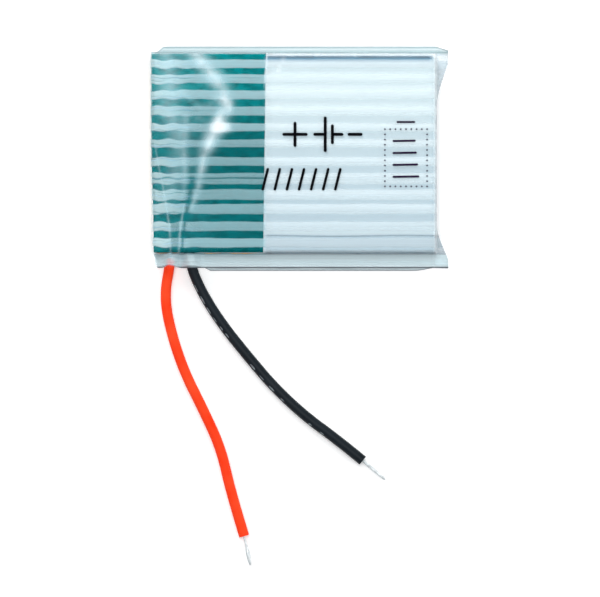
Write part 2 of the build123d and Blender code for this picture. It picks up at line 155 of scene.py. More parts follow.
# ---- mesh building ----

def add_object(name, data):
    """Put data into the scene as an object."""
    obj = bpy.data.objects.new(name, data)
    bpy.context.scene.collection.objects.link(obj)
    return obj


def finish_mesh(name, vertices, faces, attributes=None, smooth_faces=True):
    """Object from vertices in millimetres, with float attributes on its points."""
    mesh = bpy.data.meshes.new(name)
    mesh.from_pydata([tuple(v) for v in np.asarray(vertices) * MM], [], [tuple(f) for f in faces])
    mesh.update()
    for key, values in (attributes or {}).items():
        layer = mesh.attributes.new(key, "FLOAT", "POINT")
        layer.data.foreach_set("value", np.asarray(values, dtype=np.float32).ravel())
    mesh.polygons.foreach_set("use_smooth", [smooth_faces] * len(mesh.polygons))
    obj = add_object(name, mesh)
    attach(obj, "root")
    return obj


def tube_faces(base, rings, corners):
    """Faces of a closed tube, whose rings of points follow one another from base."""
    faces = []
    for ring in range(rings):
        for corner in range(corners):
            a = base + ring * corners + corner
            b = base + ring * corners + (corner + 1) % corners
            faces.append((a, b, b + corners, a + corners))
    faces.append(tuple(base + corner for corner in reversed(range(corners))))
    faces.append(tuple(base + rings * corners + corner for corner in range(corners)))
    return faces


def slab_faces(rows, columns):
    """Faces of a closed slab: a grid of places on its upper side, then the same on its lower side."""
    count = rows * columns
    index = np.arange(count).reshape(rows, columns)
    upper = np.stack([index[:-1, :-1], index[:-1, 1:], index[1:, 1:], index[1:, :-1]], axis=-1)
    upper = upper.reshape(-1, 4)
    edge = np.concatenate([index[0, :], index[1:, -1], index[-1, -2::-1], index[-2:0:-1, 0]])
    following = np.roll(edge, -1)
    rim = np.stack([edge, edge + count, following + count, following], axis=-1)
    return np.concatenate([upper, upper[:, ::-1] + count, rim])


def sheet_solid(name, x, y, z, thickness, attributes=None):
    """Closed thin solid from a grid of places on its upper surface, thickened along its normals."""
    top = np.stack([x, y, z], axis=-1)
    normal = np.cross(np.gradient(top, axis=1), np.gradient(top, axis=0))
    normal /= np.maximum(np.linalg.norm(normal, axis=-1, keepdims=True), 1e-12)
    vertices = np.concatenate([top.reshape(-1, 3), (top - normal * thickness).reshape(-1, 3)])
    doubled = {key: np.tile(value.ravel(), 2) for key, value in (attributes or {}).items()}
    return finish_mesh(name, vertices, slab_faces(*x.shape), doubled)


def film_solid(*sheet):
    """Sheet of clear film, which throws no shadow."""
    obj = sheet_solid(*sheet)
    obj.visible_shadow = False
    return obj


# ---- materials ----

def new_material(name, **inputs):
    """Principled material with its plain values set on the shader's own sockets."""
    look = bpy.data.materials.new(name)
    look.use_nodes = True
    shader = look.node_tree.nodes["Principled BSDF"]
    for key, value in inputs.items():
        shader.inputs[key.replace("_", " ")].default_value = value
    return look


def add_node(look, kind, **settings):
    node = look.node_tree.nodes.new(kind)
    for key, value in settings.items():
        setattr(node, key, value)
    return node


def feed(look, socket, value):
    """Set a socket to a number or a colour, or join it to another node's output."""
    if isinstance(value, (int, float)):
        socket.default_value = value
    elif isinstance(value, tuple):
        socket.default_value = (*value, 1.0)
    elif value is not None:
        look.node_tree.links.new(value, socket)


def drive(look, socket, source):
    """Feed one of the shader's own sockets."""
    feed(look, look.node_tree.nodes["Principled BSDF"].inputs[socket], source)


def stretched_noise(look, scale, stretch=(1.0, 1.0, 1.0), detail=3.0):
    """Noise in object space, stretched along each axis by the given factors."""
    place = add_node(look, "ShaderNodeTexCoord")
    mapping = add_node(look, "ShaderNodeMapping")
    mapping.inputs["Scale"].default_value = stretch
    feed(look, mapping.inputs["Vector"], place.outputs["Object"])
    noise = add_node(look, "ShaderNodeTexNoise")
    noise.inputs["Scale"].default_value = scale
    noise.inputs["Detail"].default_value = detail
    feed(look, noise.inputs["Vector"], mapping.outputs["Vector"])
    return noise.outputs["Fac"]


def ramp(look, source, low_stop, high_stop):
    """Colour ramp between two stops, each a position and a colour."""
    node = add_node(look, "ShaderNodeValToRGB")
    for element, (position, colour) in zip(node.color_ramp.elements, (low_stop, high_stop)):
        element.position = position
        element.color = (*colour, 1.0)
    feed(look, node.inputs["Fac"], source)
    return node.outputs["Color"]


def math_node(look, operation, first, second=None, third=None, clamp=False):
    node = add_node(look, "ShaderNodeMath", operation=operation, use_clamp=clamp)
    for socket, value in zip(node.inputs, (first, second, third)):
        feed(look, socket, value)
    return node.outputs[0]


def product(look, first, second):
    return math_node(look, "MULTIPLY", first, second)


def total_of(look, first, second, clamp=False):
    return math_node(look, "ADD", first, second, clamp=clamp)


def scaled(look, value, factor, offset, clamp=False):
    return math_node(look, "MULTIPLY_ADD", value, factor, offset, clamp)


def share_of(look, value, factor, offset):
    """A scaled value held between 0 and 1."""
    return scaled(look, value, factor, offset, clamp=True)


def mix_colour(look, factor, first, second, blend="MIX"):
    node = add_node(look, "ShaderNodeMix", data_type="RGBA", blend_type=blend)
    for index, value in ((0, factor), (6, first), (7, second)):
        feed(look, node.inputs[index], value)
    return node.outputs[2]


def attribute(look, name):
    return add_node(look, "ShaderNodeAttribute", attribute_name=name).outputs["Fac"]


def bump(look, height, strength, distance):
    node = add_node(look, "ShaderNodeBump")
    node.inputs["Strength"].default_value = strength
    node.inputs["Distance"].default_value = distance
    feed(look, node.inputs["Height"], height)
    drive(look, "Normal", node.outputs["Normal"])


def object_xy(look):
    """The object-space x and y coordinates, in millimetres."""
    place = add_node(look, "ShaderNodeTexCoord")
    split = add_node(look, "ShaderNodeSeparateXYZ")
    feed(look, split.inputs["Vector"], place.outputs["Object"])
    return [math_node(look, "DIVIDE", split.outputs[axis], MM) for axis in ("X", "Y")]


def add_layer(look, tone, alpha, amount, colour):
    """Lay a colour over a tone: both are mixed by their shares of the opacity."""
    total = total_of(look, alpha, amount)
    share = math_node(look, "DIVIDE", amount, total_of(look, total, 0.001))
    return mix_colour(look, share, tone, colour), total


def filament_film(name, band_alpha, gap_alpha):
    """Clear film with milky glass bundles in it, laid out by the mesh's own attributes, with painted
    highlights, painted shade and dark lines laid over them.
    """
    look = new_material(name, Roughness=0.34, IOR=1.5, Specular_IOR_Level=0.05)
    milk, haze, dirt, shade, gleam = (
        attribute(look, key) for key in ("milk", "haze", "dirt", "shade", "gleam"))
    fibres = stretched_noise(look, 900.0, (0.045, 7.0, 1.0))
    clouds = stretched_noise(look, 260.0, (0.35, 1.0, 1.0))
    x, y = object_xy(look)
    # Bundles take on the tint of what lies below them; over the green they are also lighter towards the high
    # side, which is painted light falling off across the pack
    upper_share = share_of(look, y, 0.12, 0.1)
    over_green = mix_colour(look, upper_share, (0.4, 0.63, 0.69), (0.49, 0.69, 0.75))
    over_silver = mix_colour(look, upper_share, (0.61, 0.7, 0.745), (0.6, 0.69, 0.735))
    over_green = mix_colour(look, share_of(look, x, -0.25, -3.4), over_green, (0.6, 0.76, 0.79))
    milk_colour = mix_colour(look, share_of(look, x, 2.0, 9.0), over_green, over_silver)
    # On the lead side's flange the bundles take a lighter tone, painted light where the pack shades the
    # flange; on the high side's flange they take a darker tone
    off_low_side = share_of(look, y, -8.0, -96.8)
    off_high_side = share_of(look, y, 8.0, -106.0)
    milk_colour = mix_colour(look, off_low_side, milk_colour, (0.66, 0.79, 0.83))
    milk_colour = mix_colour(look, off_high_side, milk_colour, (0.42, 0.56, 0.59))
    fibre_tone = ramp(look, scaled(look, fibres, 0.36, 0.82), (0.0, (0, 0, 0)), (1.0, (1, 1, 1)))
    toned = mix_colour(look, 1.0, milk_colour, fibre_tone, blend="MULTIPLY")
    band = product(look, milk, scaled(look, fibres, -0.45, 1.22))
    band = scaled(look, band, band_alpha - gap_alpha, gap_alpha)
    cloudy = scaled(look, clouds, 0.7, 0.65)
    alpha = total_of(look, band, product(look, haze, cloudy))
    tone, alpha = add_layer(look, toned, alpha, gleam, (0.93, 0.97, 0.99))
    tone, alpha = add_layer(look, tone, alpha, shade, (0.1, 0.27, 0.4))
    # Grey layer: painted shadow in the film's folds and creases, and dark lines along its edges
    drive(look, "Base Color", mix_colour(look, dirt, tone, (0.13, 0.15, 0.17)))
    alpha = total_of(look, alpha, product(look, dirt, 0.55), clamp=True)
    drive(look, "Alpha", alpha)
    bump(look, fibres, 0.35, 0.00004)
    return look


def head_film():
    """Clear glossy tape, whitened where it has lifted and along its creases, where the whitening is partly
    painted reflection; the shine is painted highlight.
    """
    look = new_material("head_film", Roughness=0.2, IOR=1.5, Specular_IOR_Level=0.15)
    haze = attribute(look, "haze")
    shine = attribute(look, "shine")
    clouds = stretched_noise(look, 420.0, (0.5, 1.0, 1.0), detail=4.0)
    whiteness = share_of(look, shine, 4.0, product(look, haze, 1.6))
    drive(look, "Base Color", mix_colour(look, whiteness, (0.36, 0.66, 0.74), (0.86, 0.94, 0.98)))
    hazy = product(look, haze, scaled(look, clouds, 2.6, -0.3))
    alpha = total_of(look, total_of(look, hazy, shine), 0.002, clamp=True)
    drive(look, "Alpha", alpha)
    bump(look, clouds, 0.2, 0.00005)
    return look


def green_tape_material():
    """Teal polyester tape: fine crepe, a little darker in the middle of the lead side and lighter over the
    head; the darkening is partly the tape's tone and partly painted shade.
    """
    look = new_material("green_tape_surface", Roughness=0.6, Specular_IOR_Level=0.0)
    grain = stretched_noise(look, 1500.0, (0.7, 1.0, 1.0), detail=4.0)
    patches = stretched_noise(look, 180.0, (0.6, 1.0, 1.0))
    x, y = object_xy(look)
    at_head = share_of(look, x, -0.1, -1.25)
    # Darker towards the lead side: partly the tape's tone, partly painted shade
    lightness = total_of(look, share_of(look, y, 0.13, -0.25), at_head, clamp=True)
    base = mix_colour(look, lightness, (0.0, 0.12, 0.132), (0.0, 0.285, 0.296))
    mottled = mix_colour(look, share_of(look, patches, 1.6, -0.5), base, (0.0, 0.18, 0.205))
    speckled = mix_colour(look, share_of(look, grain, 2.0, -0.82), mottled, (0.0, 0.062, 0.066))
    drive(look, "Base Color", speckled)
    bump(look, grain, 0.3, 0.00003)
    return look


def laminate_material():
    """Satin nylon-faced aluminium laminate, with the faint mottle of drawn foil."""
    look = new_material("laminate_surface", Roughness=0.5, Specular_IOR_Level=0.15)
    mottle = stretched_noise(look, 700.0, (0.6, 1.0, 1.0), detail=5.0)
    cast = stretched_noise(look, 120.0, (0.3, 1.0, 1.0), detail=2.0)
    _, y = object_xy(look)
    # Lighter towards the high side: painted light falling off across the pack
    upper_share = share_of(look, y, 0.07, 0.42)
    toned = total_of(look, upper_share, scaled(look, cast, 0.4, -0.2))
    base = ramp(look, toned, (0.0, (0.58, 0.685, 0.73)), (1.0, (0.765, 0.86, 0.87)))
    worn = mix_colour(look, product(look, mottle, 0.12), base, (0.56, 0.7, 0.75))
    drive(look, "Base Color", worn)
    bump(look, mottle, 0.25, 0.00005)
    return look


def insulation_material(name, dark, light, specular):
    """Soft satin wire insulation with faint drawn streaks."""
    look = new_material(name, Roughness=0.5, Specular_IOR_Level=specular)
    streaks = stretched_noise(look, 300.0, detail=4.0)
    drive(look, "Base Color", ramp(look, streaks, (0.3, dark), (0.7, light)))
    drive(look, "Roughness", scaled(look, streaks, 0.2, 0.4))
    bump(look, stretched_noise(look, 2500.0), 0.15, 0.00002)
    return look


def plain_solid(name, dark, light, roughness, metallic=0.0, scale=900.0, grain=0.25, specular=0.5):
    """Material with a two-tone mottle, a varied roughness and a fine bump."""
    look = new_material(name, Metallic=metallic, Specular_IOR_Level=specular)
    mottle = stretched_noise(look, scale, detail=4.0)
    drive(look, "Base Color", ramp(look, mottle, (0.3, dark), (0.7, light)))
    drive(look, "Roughness", scaled(look, mottle, 0.2, roughness - 0.1))
    bump(look, mottle, grain, 0.00003)
    return look


MATERIALS = {
    "upper_film": filament_film("upper_film", 0.36, 0.003),
    "lower_film": filament_film("lower_film", 0.3, 0.06),
    "head_film": head_film(),
    "green_tape": green_tape_material(),
    "laminate": laminate_material(),
    "anode": plain_solid("anode_coating", (0.03, 0.03, 0.032), (0.075, 0.075, 0.08), 0.8),
    "cathode": plain_solid("cathode_coating", (0.07, 0.07, 0.075), (0.13, 0.13, 0.14), 0.75),
    "separator": plain_solid("separator_film", (0.8, 0.8, 0.8), (0.92, 0.92, 0.92), 0.6),
    "stack_tape": plain_solid("stack_tape_film", (0.1, 0.28, 0.5), (0.16, 0.36, 0.6), 0.4),
    "nickel": plain_solid("nickel_strip_metal", (0.58, 0.56, 0.52), (0.72, 0.7, 0.66), 0.3, metallic=1.0),
    "aluminium_foil": plain_solid("tab_aluminium", (0.74, 0.75, 0.76), (0.88, 0.89, 0.9), 0.3, metallic=1.0),
    "tab_seal": plain_solid("tab_seal_film", (0.76, 0.74, 0.66), (0.88, 0.86, 0.8), 0.45),
    "foam": plain_solid("foam_tape", (0.7, 0.72, 0.72), (0.9, 0.91, 0.9), 0.85, scale=2200.0, grain=0.8),
    "board": plain_solid("solder_mask", (0.01, 0.13, 0.06), (0.02, 0.22, 0.1), 0.3),
    "copper": plain_solid("plated_land", (0.62, 0.4, 0.2), (0.85, 0.6, 0.34), 0.28, metallic=1.0),
    "chip": plain_solid("moulded_black", (0.018, 0.018, 0.02), (0.04, 0.04, 0.042), 0.6, scale=3000.0),
    "capacitor": plain_solid("tan_ceramic", (0.36, 0.25, 0.15), (0.52, 0.38, 0.24), 0.5, scale=3000.0),
    "tin": plain_solid("bright_solder", (0.6, 0.61, 0.63), (0.84, 0.85, 0.86), 0.25, metallic=1.0,
                       scale=1800.0),
    "amber_film": plain_solid("amber_film_surface", (0.5, 0.2, 0.03), (0.72, 0.36, 0.08), 0.25),
    "red_insulation": insulation_material("red_insulation_surface", (0.98, 0.04, 0.006),
                                          (1.0, 0.078, 0.022), 0.06),
    "black_insulation": insulation_material("black_insulation_surface", (0.004, 0.008, 0.012),
                                            (0.009, 0.015, 0.021), 0.16),
    "tinned_wire": plain_solid("tinned_strands", (0.56, 0.61, 0.63), (0.88, 0.92, 0.93), 0.38, metallic=0.55,
                               scale=2400.0),
}
INK = plain_solid("print_ink", (0.001, 0.001, 0.002), (0.004, 0.004, 0.006), 0.7, scale=2500.0,
                  specular=0.03)
FINE_INK = plain_solid("fine_print_ink", (0.012, 0.005, 0.025), (0.035, 0.02, 0.05), 0.7, scale=2500.0,
                       specular=0.03)
FLECK_INK = plain_solid("lead_print_ink", (0.13, 0.17, 0.19), (0.28, 0.33, 0.35), 0.6, scale=2500.0)


def surface(obj, name):
    """Give a piece the material that is listed under a slot's name."""
    obj.data.materials.append(MATERIALS[name])


# ---- wrap: the clear films ----

# Centrelines of the built leads, filled in by build_leads
LEAD_LINES = []


def lead_hump(x, y):
    """How far the film is lifted over the two leads outside the long wall."""
    lift = np.zeros(np.broadcast(x, y).shape)
    for line in LEAD_LINES:
        inner = line[line[:, 1] > -17.0][::-1]
        lead_x = np.interp(y, inner[:, 1], inner[:, 0])
        lead_z = np.interp(y, inner[:, 1], inner[:, 2])
        rise = lead_z + LEAD_RADIUS + FILM + 0.08 - FLANGE_TOP
        lift = np.maximum(lift, rise * np.exp(-(np.abs(x - lead_x) / 1.0) ** 3))
    return lift


HEAD_FOOT = HEAD_LOW[0] + 0.04
TAIL_FOOT = CUP_HIGH[0] + 0.32
LOW_FOOT = -12.16
HIGH_FOOT = 13.32
# Creases of the head tape: each line, its width and strength at its two ends, and how sharp its core is
HEAD_CREASES = [
    ([(-13.4, 13.9), (-12.2, 11.9), (-10.7, 10.2), (-9.7, 8.7), (-9.3, 7.4), (-9.2, 6.3), (-9.9, 5.2),
      (-10.2, 4.4)], (1.1, 0.85), (0.42, 0.36), 0.03),
    ([(-10.0, 4.0), (-10.7, 2.9), (-11.5, 1.2), (-11.9, 0.3), (-12.2, -1.3), (-12.7, -4.0), (-13.5, -6.3)],
     (0.95, 0.4), (0.42, 0.2), 0.05),
    ([(-14.45, -5.9), (-14.68, -7.4), (-14.98, -9.5), (-15.1, -11.6), (-15.15, -13.4)],
     (0.15, 0.2), (0.1, 0.13), 0.55),
    ([(-18.1, 1.6), (-17.6, -1.3), (-17.1, -3.8), (-16.6, -6.7), (-16.25, -9.0), (-16.1, -13.4)],
     (0.16, 0.18), (0.08, 0.1), 0.55),
    ([(-16.9, 13.4), (-16.3, 11.0), (-16.3, 9.5), (-16.4, 6.0), (-15.4, 3.8), (-15.0, 1.0), (-15.3, -1.6),
      (-16.6, -4.6)], (1.25, 1.3), (0.22, 0.08), 0.0),
    ([(-14.2, 5.2), (-14.4, 2.0), (-14.3, -1.6), (-14.5, -4.6)], (0.55, 0.35), (0.13, 0.1), 0.0),
    ([(-10.4, 7.6), (-8.7, 7.0), (-8.6, 5.9)], (0.5, 0.45), (0.14, 0.12), 0.0),
    ([(-14.6, 8.0), (-12.4, 6.4), (-11.2, 6.6)], (0.45, 0.55), (0.08, 0.1), 0.0),
    ([(-12.6, 4.9), (-11.4, 3.9), (-12.4, 1.0)], (0.6, 0.55), (0.1, 0.07), 0.0),
]
# Where the fold squeezes the bundles out of sight
FOLD_GAP = [(-13.3, -2.0), (-13.6, -3.9), (-13.95, -5.9), (-14.15, -7.0), (-14.45, -8.6), (-14.68, -10.8),
            (-14.8, -12.3)]


def drape(x, y):
    """Upper surface of the draped film, without its bundles."""
    share = wall_rise(y - LOW_FOOT, 0.72) * wall_rise(HIGH_FOOT - y, 0.72)
    share = share * wall_rise(TAIL_FOOT - x, 0.42) * wall_rise(x - HEAD_FOOT, 0.9)
    height = FILM_HIGH[2] - FLANGE_TOP - 0.03
    z = FLANGE_TOP + height * share + share * 0.018 * ripple(x, y, 3, 1.2)
    hump = lead_hump(x, y) * smooth(LOW_FOOT + 0.35 - y, 0.0, 0.35)
    return np.minimum(z + hump, FILM_HIGH[2] + 0.05)


def tail_x(y, ear):
    """Concave tail edge of the films."""
    upper = smooth(y, 6.6, 14.6) * 1.9
    lower = smooth(-y, 8.3, 15.0) * 1.95
    return TAIL_FOOT + 0.04 + np.minimum((upper + lower) * ear, 1.45)


def wobble(x, seed, index):
    """Sideways wander of a bundle's edge along the pack, stronger near the head."""
    random = np.random.default_rng(seed * 100 + index)
    total = np.zeros_like(x)
    for length, size in ((14.0, 0.5), (6.0, 0.3), (2.7, 0.2)):
        total = total + size * np.sin(x * 2 * math.pi / length + random.uniform(0, 2 * math.pi))
    near_head = smooth(-x, 11.0, 17.0)
    waves = 0.09 * near_head * np.sin(x * 2 * math.pi / 2.7 + index * 1.7)
    return total * (0.05 + 0.06 * smooth(-x, 8.0, 17.0)) + waves


# The long crease of the upper film, where the head tape's creases end, and nicks in the high fold line
LONG_CREASE_Y = -9.83
HEAD_ZONE_X = -8.0
NICKS_X = (2.1, 7.1)
# Places closer together than this are left out of a grid
LEAST_STEP = 0.012


def thinned(places, low, high):
    """Places between two ends, sorted, without near doubles, and with the ends themselves."""
    places = np.array(sorted(place for place in places if low < place < high))
    keep = np.concatenate([[True], np.diff(places) > LEAST_STEP])
    return np.concatenate([[low], places[keep], [high]])


def band_rows(low_y, high_y):
    """Row heights that follow the bundles' edges, the splits and the foot of both long walls."""
    rows = []
    for centre, width, _ in BANDS:
        for side in (-0.5, 0.5):
            rows.extend(centre + side * width + np.array((-0.12, -0.04, 0.04, 0.12)))
    for split_y, width, _ in SPLITS:
        rows.extend(split_y + width * np.array((-1, -0.5, 0, 0.5, 1)))
    rows.extend(np.arange(low_y, high_y, 0.13))
    rows.extend(LONG_CREASE_Y + np.arange(-0.18, 0.19, 0.04))
    for offset in (0.02, 0.045, 0.07, 0.1, 0.14, 0.2):
        rows.extend((low_y + offset, high_y - offset))
    for offset in (-0.05, 0.0, 0.01, 0.02, 0.04, 0.07, 0.11, 0.17, 0.25, 0.35, 0.5, 0.65):
        rows.extend((LOW_FOOT + offset, HIGH_FOOT - offset))
    return thinned(rows, low_y, high_y)


def columns(low_x, high_x, step, body_step):
    """Column places, closer over the head and where the film turns down at both ends."""
    places = list(np.arange(low_x, HEAD_ZONE_X, step)) + list(np.arange(HEAD_ZONE_X, high_x, body_step))
    for nick_x in NICKS_X:
        places.extend(nick_x + np.arange(-0.3, 0.31, 0.1))
    for offset in (-0.04, 0.0, 0.015, 0.04, 0.08, 0.14, 0.22, 0.32, 0.45, 0.6, 0.8, 1.05, 1.3):
        places.extend((HEAD_FOOT + offset, TAIL_FOOT - offset))
    return thinned(places, low_x, high_x)


def in_fold(x, y):
    """How strongly the fold squeezes the bundles at each place; it narrows towards the leads."""
    distance, along = distance_to_polyline(x, y, FOLD_GAP)
    return bell(distance, 0.44 - 0.28 * along) * smooth(along, 0.0, 0.06)


def band_masks(x, y):
    """Milkiness of the bundles, and how far they stand up, at each place."""
    milk = np.zeros_like(x)
    relief = np.zeros_like(x)
    for index, (centre, width, milkiness) in enumerate(BANDS):
        upper = centre + width / 2 + wobble(x, 1, index)
        lower = centre - width / 2 + wobble(x, 2, index)
        inside = smooth(y, lower - 0.055, lower + 0.055) * smooth(upper - y, -0.055, 0.055)
        milk = np.maximum(milk, inside * milkiness)
        t = np.clip((y - (lower + upper) / 2) / ((upper - lower) / 2), -1, 1)
        relief = np.maximum(relief, np.sqrt(1 - t * t) ** 0.7)
    for index, (split_y, width, openness) in enumerate(SPLITS):
        wander = wobble(x, 3, index)
        fade = 0.55 + 0.45 * np.sin(x * 2 * math.pi / (9.0 + index) + index)
        steady = fade if openness < 0.5 else 1.0
        depth = np.minimum(openness * steady * (1 + 1.6 * smooth(-x, 12.0, 15.0)), 0.9)
        cut = depth * bell(y - split_y - wander, width * 0.62)
        milk = milk * (1 - cut)
        relief = relief * (1 - 0.5 * cut)
    pinched = 0.55 * smooth(x, -16.2, -16.05) * smooth(-x, 15.05, 15.2) * smooth(-y, 6.9, 8.2)
    squeezed = 0.45 * np.exp(-(((x + 11.2) / 0.9) ** 2 + ((y - 3.8) / 0.6) ** 2))
    milk = milk * (1 - 0.85 * in_fold(x, y)) * (1 - squeezed) * (1 - pinched * (y > LOW_FOOT))
    return milk, relief


def stretch_to_tail(x, y, ear):
    """Move the last stretch of columns so that the sheet ends on its concave tail edge."""
    flat_end = x.max()
    beyond = smooth(x, TAIL_FOOT - 0.02, flat_end)
    return x + (tail_x(y, ear) - flat_end) * beyond


def head_slant(x, y, corners=0.0):
    """How far the head end is set back towards the lead side, with what a sheet's corners add."""
    return (0.3 * smooth(-y, -2.0, 10.0) + corners) * smooth(-x, 16.5, 18.9)


def film_face(x, y, relief):
    """Height of the wrap's outer face, with its bundles standing up a little."""
    return drape(x, y) - 0.03 + relief * (0.085 + 0.02 * ripple(x * 0.4, y * 3.0, 9))


def upper_shade_and_edge_lines(x, y, low_y, high_y, on_silver, lines):
    """Dark marks of the upper film: a line along each long edge, strongest at the lead side where it is
    painted shadow between the two films; painted shadow in the fold lines of both long walls; and painted
    shade in its creases and dimmer stripes.
    """
    rim = 1.6 * bell(y - low_y - 0.07, 0.09) + 0.3 * bell(high_y - y - 0.05, 0.08)
    nicks = 1 - 0.9 * (bell(x - NICKS_X[0], 0.14) + bell(x - NICKS_X[1], 0.22))
    # Painted shadow in the groove beside the high wall and along the foot of the lead-side wall
    high_fold = 0.56 * smooth(y, 12.42, 12.58) * smooth(-y, -12.92, -12.72) * unevenness(x) * nicks
    low_fold = 0.24 * bell(y + 12.02, 0.32) * (y > -12.2)
    return rim + on_silver * (high_fold * off_tail(x) + low_fold) + lines


def unevenness(x):
    """Slow change of a stripe's strength along the pack."""
    return 1 + 0.25 * np.sin(x * 1.3) * np.sin(x * 0.47 + 1.0)


def off_tail(x):
    """1 along the pack, 0 close to the tail wall."""
    return smooth(-x, -TAIL_FOOT + 0.2, -TAIL_FOOT + 1.2)


def upper_gleam(x, y, on_silver):
    """Soft light on the upper film: a short crease, the crests of the bundles, and the tail wall."""
    crease, _ = distance_to_polyline(x, y, [(-1.7, 13.1), (-2.3, 11.7), (-2.8, 10.4)])
    crests = sum(bell(y - centre - 0.22, 0.3) for centre, _, _ in BANDS) * smooth(y, -9.4, -6.0)
    stripes = bell(y - 8.75, 0.42) + 0.5 * bell(y - 10.6, 0.3) + 0.4 * bell(y - 6.6, 0.3)
    tail_wall = smooth(x, TAIL_FOOT - 0.5, TAIL_FOOT - 0.25) * smooth(-x, -TAIL_FOOT - 0.2, -TAIL_FOOT)
    tail_wall = tail_wall * smooth(y, -12.2, -11.8) * smooth(-y, -12.9, -12.5)
    return (0.2 * bell(crease, 0.16) + on_silver * (0.09 * off_tail(x) * crests + 0.12 * stripes)
            + 0.22 * tail_wall)


def yarn_shade(x, y):
    """Dark edges and loose yarns of the bundles, seen where the film has creased over the head."""
    edges = sum(bell(y - centre - side * width / 2, 0.07) for centre, width, _ in BANDS for side in (-1, 1))
    yarns = sum(bell(y - centre - 0.24 * width * math.sin(index * 2.3) - 1.3 * wobble(x, 5, index), 0.055)
                for index, (centre, width, _) in enumerate(BANDS))
    creased = smooth(-x, 11.5, 15.5) * (1 + 1.6 * ripple(x, y, 21, 0.5)) * smooth(-y, -13.0, -12.6)
    return np.clip(0.12 * edges + 0.5 * yarns, 0, 1) * np.clip(creased, 0, 2)


def build_upper_sheet():
    """Draped film with the bundles under it: flat flanges outside, and the leads lifting it."""
    low_y, high_y = FILM_LOW[1], FILM_HIGH[1]
    places = columns(HEAD_LOW[0] + 0.2, TAIL_FOOT + 0.35, 0.27, 0.5)
    x, y = np.meshgrid(places, band_rows(low_y, high_y))
    x = stretch_to_tail(x, y, 1.0)
    y = y + 0.05 * np.sin(x * 0.9) * (y == low_y) + 0.04 * np.sin(x * 0.7 + 1.0) * (y == high_y)
    y = y + 0.4 * bell(x + 16.3, 0.9) * smooth(-y, 13.0, -low_y)
    x = x + head_slant(x, y, 0.5 * smooth(-y, 11.8, 13.8))
    milk, relief = band_masks(x, y)
    on_silver = smooth(x, GREEN_HIGH[0], GREEN_HIGH[0] + 0.4)
    long_crease = bell(y - LONG_CREASE_Y + 0.05 * np.sin(x * 0.35), 0.085) * on_silver
    tail_lines = bell(x - 16.76, 0.07) + bell(x - 17.22, 0.05)
    z = film_face(x, y, relief) - 0.03 * long_crease - 0.02 * tail_lines
    # Painted shade: the gaps between bundles and the lead side's last stripes are a little dimmer
    gap = (1 - smooth(milk, 0.1, 0.6)) * smooth(y, -9.4, -9.0) * smooth(-y, -12.0, -11.6)
    low_stripes = 0.07 * smooth(-y, 9.2, 9.8) + 0.08 * smooth(-y, 9.8, 10.0)
    dim = on_silver * (0.14 * gap + low_stripes) * (y > -12.1)
    # Painted shade in the long crease, the fold lines at the tail and the dimmer stripes
    lines = 0.65 * long_crease + 0.16 * tail_lines + 0.62 * dim
    dirt = upper_shade_and_edge_lines(x, y, low_y, high_y, on_silver, lines)
    # Painted shadow along the groove beside the high wall
    high_shadow_stripe = on_silver * off_tail(x) * 0.6 * bell(y - 12.5, 0.34) * (0.8 + 0.2 * unevenness(x))
    shade = 0.45 * dim + high_shadow_stripe + yarn_shade(x, y)
    # Thinner at the tail and on the high wall, denser on the lead side's flange and over the head. The haze
    # on the tail wall and on the lead side's flange, and the denser film on that flange, are painted light
    # where the pack's own shade falls.
    tail_turn = smooth(x, TAIL_FOOT - 0.45, TAIL_FOOT - 0.1)
    high_wall = smooth(y, 12.62, 12.8) * smooth(-y, -13.3, -13.1)
    low_flange = smooth(-y, -LOW_FOOT, -LOW_FOOT + 0.1)
    milk = milk * (1 - 0.75 * tail_turn) * (1 - 0.6 * high_wall)
    milk = milk * (1 + 0.9 * low_flange) * (1 + 0.45 * smooth(-x, 12.5, 16.5))
    haze = 0.36 * smooth(y, HIGH_FOOT - 0.35, HIGH_FOOT - 0.1) + 0.2 * tail_turn
    haze = haze + 0.5 * smooth(-y, 12.12, 12.2) * smooth(y, -13.1, -12.5) + 0.36 * smooth(-y, 13.25, 13.45)
    over_red_lead = 1 - 0.68 * bell(x + 16.3, 0.75) * smooth(-y, 12.2, 12.7)
    obj = film_solid("wrap_sheet_upper", x, y, z, 0.08, {
        "milk": milk * over_red_lead, "haze": haze * over_red_lead, "dirt": dirt, "shade": shade,
        "gleam": upper_gleam(x, y, on_silver)})
    surface(obj, "upper_film")
    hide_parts("wrap_film_top", "filaments_top")


